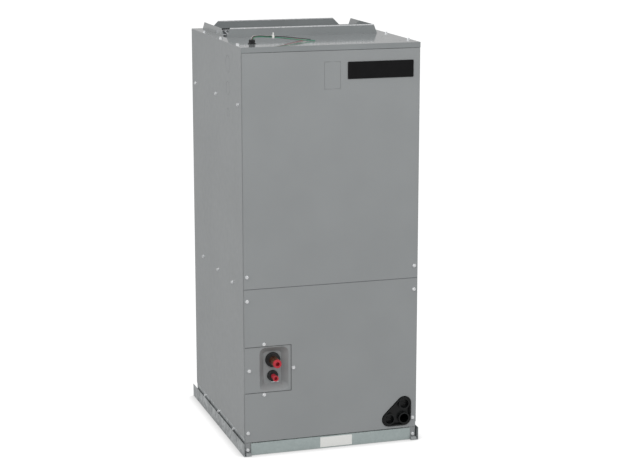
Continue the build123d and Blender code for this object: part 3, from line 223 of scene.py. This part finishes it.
def galvanised(name, dark, light, spangle, metallic):
    shader = Shader(name, Metallic=metallic)
    wobble = shader.node("TexNoise", {"Vector": shader.place, "Scale": 60.0, "Detail": 2.0})
    shift = shader.node("VectorMath", {0: wobble.outputs["Color"], "Scale": 0.012}, operation="SCALE")
    warped = shader.node("VectorMath", {0: shader.place, 1: shift.outputs[0]}, operation="ADD")
    flakes = shader.cells(spangle, "Color", warped.outputs[0])
    split = shader.node("SeparateColor", {0: flakes})
    haze = shader.level(shader.noise(22, 5, 0.6), 0, 0.45, 0.35, 0.65)
    share = shader.math("ADD", shader.level(split.outputs[0], 0, 0.55), haze)
    shader.colour(share, dark, light)
    shader.link(shader.level(split.outputs[1], 0.34, 0.5), shader.surface.inputs["Roughness"])
    shader.bump(shader.noise(900, 2), 0.00003)
    return shader.material


def metal(name, dark, light, low, high, metallic=1.0):
    shader = Shader(name, Metallic=metallic)
    shader.colour(shader.level(shader.noise(90, 4, 0.6), 0, 1, 0.35, 0.65), dark, light)
    shader.rough(shader.noise(225, 3), low, high)
    shader.bump(shader.noise(1500, 2), 0.00002)
    return shader.material


def moulded(name, dark, light, roughness, grain, coat=0.0, scale=1600, shine=0.5):
    shader = Shader(name, Coat_Weight=coat, Coat_Roughness=0.12, Specular_IOR_Level=shine)
    shader.colour(shader.level(shader.noise(45, 4), 0, 1, 0.35, 0.65), dark, light)
    shader.rough(shader.noise(200, 3), roughness - 0.05, roughness + 0.06)
    shader.bump(shader.noise(scale, 2), grain)
    return shader.material


def foil(name):
    shader = Shader(name, Metallic=1.0)
    shader.colour(shader.noise(30, 4), srgb(176, 178, 180), srgb(215, 217, 219))
    shader.rough(shader.noise(120, 3), 0.2, 0.34)
    scrim = [shader.level(shader.bands(26, direction), 0, 1, 0.9, 1) for direction in ("Z", "DIAGONAL")]
    shader.bump(shader.math("MAXIMUM", *scrim), 0.0003)
    shader.bump(shader.noise(70), 0.0005)
    return shader.material


def fins(name):
    shader = Shader(name, Metallic=1.0)
    # Bands across the fins. The dark bands paint the shade between the fins, and the same bands give the
    # louvre bump.
    louvre_and_fin_shade = shader.bands(175, "Y")
    shader.colour(louvre_and_fin_shade, srgb(96, 99, 102), srgb(214, 217, 220))
    shader.rough(shader.noise(150), 0.28, 0.42)
    shader.bump(louvre_and_fin_shade, 0.0009)
    return shader.material


def foam(name):
    shader = Shader(name)
    holes = shader.cells(1100, "Distance")
    shader.colour(shader.level(holes, 0, 1, 0, 0.5), srgb(88, 90, 92), srgb(128, 130, 132))
    shader.rough(shader.noise(300), 0.82, 0.95)
    shader.bump(holes, 0.0004)
    return shader.material


def cardboard(name):
    shader = Shader(name)
    fibres = shader.noise(260, 6, 0.7, shader.stretched(1, 6, 6))
    shader.colour(fibres, srgb(148, 116, 82), srgb(190, 156, 116))
    shader.rough(shader.noise(200), 0.78, 0.92)
    shader.bump(fibres, 0.0002)
    return shader.material


def filter_cloth(name):
    shader = Shader(name, Sheen_Weight=0.3)
    fibres = shader.noise(900, 8, 0.75, shader.stretched(1, 3, 1))
    shader.colour(fibres, srgb(186, 190, 192), srgb(238, 240, 238))
    shader.rough(shader.noise(300), 0.88, 0.98)
    shader.bump(fibres, 0.0006)
    return shader.material


def paper(name):
    shader = Shader(name)
    fibres = shader.noise(1400, 6, 0.7)
    shader.colour(shader.level(fibres, 0, 1, 0.3, 0.7), srgb(226, 227, 224), srgb(244, 244, 241))
    shader.rough(shader.noise(90), 0.5, 0.62)
    shader.bump(fibres, 0.00003)
    return shader.material


def circuit(name):
    shader = Shader(name, Coat_Weight=0.4)
    tracks = shader.level(shader.cells(170, "Distance", feature="DISTANCE_TO_EDGE"), 1, 0, 0.02, 0.05)
    shader.colour(tracks, srgb(16, 74, 40), srgb(52, 128, 78))
    shader.rough(shader.noise(300), 0.28, 0.4)
    shader.bump(tracks, 0.00008)
    return shader.material


def laminations(name):
    shader = Shader(name, Metallic=0.9)
    layers = shader.bands(320, "X")
    shader.colour(layers, srgb(92, 92, 95), srgb(150, 150, 152))
    shader.rough(shader.noise(150), 0.36, 0.52)
    shader.bump(layers, 0.0003)
    return shader.material


def vinyl(name):
    shader = Shader(name, Coat_Weight=0.25, Coat_Roughness=0.2, Subsurface_Weight=0.12,
                    Subsurface_Scale=0.002)
    shader.colour(shader.noise(120, 4), srgb(176, 26, 46), srgb(206, 52, 66))
    shader.rough(shader.noise(150), 0.3, 0.42)
    shader.bump(shader.noise(700, 2), 0.00006)
    return shader.material


def insulation(name, dark, light):
    shader = Shader(name, Coat_Weight=0.2, Coat_Roughness=0.25)
    shader.colour(shader.noise(160, 4), dark, light)
    shader.rough(shader.noise(220), 0.34, 0.46)
    shader.bump(shader.noise(1300, 2), 0.00003)
    return shader.material


MATERIALS = {
    "galvanised_door": galvanised("galvanised_door", srgb(168, 179, 178), srgb(180, 191, 190), 160, 0.35),
    "painted_grey": painted("painted_grey", srgb(145, 148, 149), srgb(148, 151, 152), 0.42, 0.12, 0.00004),
    "glossy_top": painted("glossy_top", srgb(134, 138, 139), srgb(140, 144, 145), 0.12, 0.6, 0.000006),
    "galvanised": galvanised("galvanised", srgb(150, 154, 155), srgb(206, 210, 211), 95, 0.6),
    "zinc_screw": metal("zinc_screw", srgb(226, 228, 230), srgb(246, 247, 248), 0.2, 0.32, metallic=0.6),
    "foil_liner": foil("foil_liner"),
    "aluminium_fin": fins("aluminium_fin"),
    "copper": metal("copper", srgb(158, 92, 62), srgb(206, 138, 100), 0.22, 0.4),
    "brass": metal("brass", srgb(160, 128, 70), srgb(204, 176, 108), 0.2, 0.34),
    "black_plastic": moulded("black_plastic", srgb(7, 9, 10), srgb(12, 15, 16), 0.28, 0.00003, shine=0.4),
    "badge_black": moulded("badge_black", srgb(7, 7, 9), srgb(11, 11, 13), 0.34, 0.00001, shine=0.2),
    "black_rubber": moulded("black_rubber", srgb(26, 26, 27), srgb(38, 38, 39), 0.6, 0.00008, scale=900),
    "red_plastic": vinyl("red_plastic"),
    "white_plastic": moulded("white_plastic", srgb(222, 222, 218), srgb(240, 240, 236), 0.36, 0.00002, 0.2),
    "foam": foam("foam"),
    "cardboard": cardboard("cardboard"),
    "filter_cloth": filter_cloth("filter_cloth"),
    "paper": paper("paper"),
    "board_green": circuit("board_green"),
    "steel_core": laminations("steel_core"),
    "motor_black": painted("motor_black", srgb(30, 30, 32), srgb(40, 40, 42), 0.34, 0.3, 0.00004),
    "lead_white": insulation("lead_white", srgb(220, 212, 206), srgb(240, 234, 228)),
    "lead_red": insulation("lead_red", srgb(168, 60, 66), srgb(196, 92, 96)),
    "lead_black": insulation("lead_black", srgb(22, 22, 23), srgb(34, 34, 35)),
    "lead_green": insulation("lead_green", srgb(26, 112, 84), srgb(44, 140, 106)),
}

material_of = {piece["node"]: piece["material_slot"] for piece in frame["record"]["subparts"]}
material_of["filter_door"] = "galvanised_door"
for node, obj in NODES.items():
    if not obj.material_slots:
        obj.data.materials.append(None)
    for slot in obj.material_slots:
        slot.material = MATERIALS[material_of[node]]
for node, lead in leads.items():
    lead.data.materials.clear()
    lead.data.materials.append(MATERIALS[node])


# Rounded edges on the small pieces. The large sheets get theirs from the shader.

EDGE_WIDTHS = {
    "badge": 0.0005,
    "drain_plugs": 0.0004,
    "wire_bushing": 0.0003,
    "suction_cap": 0.0005,
    "liquid_cap": 0.0004,
    "cabinet_screws": 0.00025,
    "upper_panel_screws": 0.00025,
    "lower_panel_screws": 0.00025,
}
WELD_DISTANCE = 0.000001
SHARP_ANGLE = 40
EDGE_STEPS = 2
LARGE_FACE_WEIGHT = 90


def soften_edges(obj, width):
    weld = obj.modifiers.new("weld", "WELD")
    weld.merge_threshold = WELD_DISTANCE
    bevel = obj.modifiers.new("bevel", "BEVEL")
    bevel.width = width
    bevel.segments = EDGE_STEPS
    bevel.limit_method = "ANGLE"
    bevel.angle_limit = radians(SHARP_ANGLE)
    shading = obj.modifiers.new("shading", "WEIGHTED_NORMAL")
    shading.mode = "FACE_AREA"
    shading.weight = LARGE_FACE_WEIGHT


for node, width in EDGE_WIDTHS.items():
    soften_edges(NODES[node], width)


# Small pieces that the CAD model leaves to the surface pass. Lengths are in millimetres.

FRONT = -261.0
# Half width, outer face and top of the front and the rear duct flange
FLANGE_EDGES = [(197, -9, 1076), (164, 245, 1072)]
# Size of the bright zinc strips that paint a highlight along the flange tops
HIGHLIGHT_HEIGHT = 2.6
HIGHLIGHT_DEPTH = (-0.3, 1.2)
HIGHLIGHT_RISE = 0.2
PANEL_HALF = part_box("lower_panel")[1][0] / MM
PLATE_RIGHT, PLATE_BOTTOM, PLATE_TOP = -109.5, 166.0, 287.0
# Black strips that paint the shade in the seam around the refrigerant plate
SEAM_Y = (FRONT - 0.15, FRONT + 0.6)
SEAM_SHADE_WIDTH = 1.1
SEAM_MARGIN = 1
KNOCKOUT_X, KNOCKOUT_Z = 1.5, 975.5
KNOCKOUT_HALF_WIDTH, KNOCKOUT_HALF_HEIGHT = 21.5, 34.5
KNOCKOUT_Y = (FRONT + 0.6, FRONT + 0.95)
SLIT = 0.9
RECESS_FLOOR = -242.0
RIB_X, RIB_Z = -148, 187
RIB_HALF_LENGTH, RIB_HALF_HEIGHT = 10, 1
RIB_Y = (RECESS_FLOOR - 1.6, RECESS_FLOOR + 0.1)


def mesh_piece(name, build, material, body="root"):
    mesh = bpy.data.meshes.new(name)
    shape = bmesh.new()
    build(shape)
    bmesh.ops.recalc_face_normals(shape, faces=shape.faces)
    shape.to_mesh(mesh)
    shape.free()
    piece = bpy.data.objects.new(name, mesh)
    SCENE.collection.objects.link(piece)
    mesh.materials.append(MATERIALS[material])
    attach(piece, body)


def add_box(shape, x, y, z, edge=0.0):
    """Box from (low, high) pairs, with its edges bevelled."""
    made = bmesh.ops.create_cube(shape, size=1)["verts"]
    for vert in made:
        sides = zip(vert.co, (x, y, z))
        vert.co = [(low + high) / 2 * MM + value * (high - low) * MM for value, (low, high) in sides]
    if edge:
        edges = list({line for vert in made for line in vert.link_edges})
        bmesh.ops.bevel(shape, geom=edges, offset=edge * MM, segments=2, affect="EDGES", profile=0.5)


def flange_edge_highlights(shape):
    """Bright zinc strips along the tops of the front and rear duct flanges: a painted highlight where their
    top edges catch the light.
    """
    inner, outer = HIGHLIGHT_DEPTH
    for half, y, top in FLANGE_EDGES:
        add_box(shape, (-half, half), (y + inner, y + outer), (top - HIGHLIGHT_HEIGHT, top + HIGHLIGHT_RISE), 0.1)


def paint_seam_shade(shape):
    """Black rubber strip in the seam between the refrigerant plate and the lower panel: painted shade
    standing in for the shadow in the gap.
    """
    upright = (PLATE_BOTTOM - SEAM_SHADE_WIDTH, PLATE_TOP + SEAM_SHADE_WIDTH)
    add_box(shape, (PLATE_RIGHT, PLATE_RIGHT + SEAM_SHADE_WIDTH), SEAM_Y, upright, 0.2)
    for z in (PLATE_BOTTOM - SEAM_SHADE_WIDTH, PLATE_TOP):
        add_box(shape, (-PANEL_HALF + SEAM_MARGIN, PLATE_RIGHT), SEAM_Y, (z, z + SEAM_SHADE_WIDTH), 0.2)


def knockout_groove(shape):
    """Bottom of the punched groove around the breaker knockout."""
    width = (KNOCKOUT_X - KNOCKOUT_HALF_WIDTH, KNOCKOUT_X + KNOCKOUT_HALF_WIDTH)
    height = (KNOCKOUT_Z - KNOCKOUT_HALF_HEIGHT, KNOCKOUT_Z + KNOCKOUT_HALF_HEIGHT)
    for side in (0, 1):
        inward = SLIT * (1 - 2 * side)
        add_box(shape, sorted((width[side], width[side] + inward)), KNOCKOUT_Y, height)
        add_box(shape, width, KNOCKOUT_Y, sorted((height[side], height[side] + inward)))


def recess_rib(shape):
    """Small bright rib under the liquid stub."""
    length = (RIB_X - RIB_HALF_LENGTH, RIB_X + RIB_HALF_LENGTH)
    add_box(shape, length, RIB_Y, (RIB_Z - RIB_HALF_HEIGHT, RIB_Z + RIB_HALF_HEIGHT), 0.4)


# Painted highlight: bright strips along the duct flange tops
mesh_piece("flange_edge_highlights", flange_edge_highlights, "zinc_screw")
# Painted shade: black strips in the seam around the refrigerant plate
mesh_piece("plate_seam_shade", paint_seam_shade, "black_rubber", "lower_panel")
mesh_piece("recess_rib", recess_rib, "zinc_screw")
mesh_piece("knockout_groove", knockout_groove, "painted_grey", "upper_panel")


# Stage: white floor, even white surroundings and soft lights

FLOOR_HALF = 14
FLOOR_Z = -0.0002
FLOOR_COLOUR = (0.02, 0.02, 0.02, 1)
# The floor glows. Rays other than camera rays see this share of its glow, which lights the part from below.
FLOOR_BOUNCE = 0.5
# Reach and strength of the painted contact shadow on the floor
SHADOW_REACH = 0.045
SHADOW_GLOW, OPEN_GLOW = 0.45, 1.04
WHITE = (1, 1, 1, 1)
WORLD_LIGHT = 0.6
WORLD_SEEN = 1.2

# Each light has its place, what it points at, its size and its power in watts
LIGHTS = {
    "key": ((-1.2, -3.6, 3.2), (0, 0, 0.75), (4.4, 3.6), 78),
    "side": ((-3.6, -0.6, 2.2), (0, 0, 0.75), (3.2, 2.8), 39),
    "fill": ((2.6, -2.6, 2.2), (0, 0, 0.6), (2.0, 2.0), 22),
    "overhead": ((0.3, 0.6, 3.6), (0, 0, 1.0), (3.6, 3.6), 36),
}


def make_floor():
    """Glowing white floor with a painted contact shadow: ambient occlusion darkens its glow only close to
    what stands on it.
    """
    mesh = bpy.data.meshes.new("floor")
    corners = [(-1, -1), (1, -1), (1, 1), (-1, 1)]
    mesh.from_pydata([(x * FLOOR_HALF, y * FLOOR_HALF, FLOOR_Z) for x, y in corners], [], [(0, 1, 2, 3)])
    floor = bpy.data.objects.new("floor", mesh)
    SCENE.collection.objects.link(floor)
    shader = Shader("floor", edge=0, Roughness=1.0, Specular_IOR_Level=0.0, Base_Color=FLOOR_COLOUR,
                    Emission_Color=WHITE)
    # Painted contact shadow: ambient occlusion dims the floor's glow close to the part
    contact_shadow_ao = shader.node("AmbientOcclusion", {"Distance": SHADOW_REACH})
    grain = shader.level(shader.noise(40), 0.97, 1.03)
    glow = shader.level(shader.math("MULTIPLY", contact_shadow_ao.outputs["AO"], grain), SHADOW_GLOW, OPEN_GLOW, 0.3, 0.85)
    seen = shader.node("LightPath").outputs["Is Camera Ray"]
    glow = shader.math("MULTIPLY", glow, shader.level(seen, FLOOR_BOUNCE, 1))
    shader.link(glow, shader.surface.inputs["Emission Strength"])
    mesh.materials.append(shader.material)


def make_world():
    """Surroundings that light the part softly and look white."""
    world = bpy.data.worlds.new("world")
    world.use_nodes = True
    tree = world.node_tree
    tree.nodes.clear()
    output = tree.nodes.new("ShaderNodeOutputWorld")
    rays = tree.nodes.new("ShaderNodeLightPath")
    light = tree.nodes.new("ShaderNodeBackground")
    light.inputs["Strength"].default_value = WORLD_LIGHT
    seen = tree.nodes.new("ShaderNodeBackground")
    seen.inputs["Color"].default_value = WHITE
    seen.inputs["Strength"].default_value = WORLD_SEEN
    both = tree.nodes.new("ShaderNodeMixShader")
    tree.links.new(rays.outputs["Is Camera Ray"], both.inputs[0])
    tree.links.new(light.outputs[0], both.inputs[1])
    tree.links.new(seen.outputs[0], both.inputs[2])
    tree.links.new(both.outputs[0], output.inputs["Surface"])
    SCENE.world = world


def make_light(name, place, target, size, power):
    data = bpy.data.lights.new(name, "AREA")
    data.shape = "RECTANGLE"
    data.size, data.size_y = size
    data.energy = power
    light = bpy.data.objects.new(name, data)
    light.location = place
    direction = Vector(target) - Vector(place)
    light.rotation_euler = direction.to_track_quat("-Z", "Y").to_euler()
    SCENE.collection.objects.link(light)


make_floor()
make_world()
for name, values in LIGHTS.items():
    make_light(name, *values)

SCENE.view_settings.view_transform = "Standard"

bpy.context.view_layer.update()
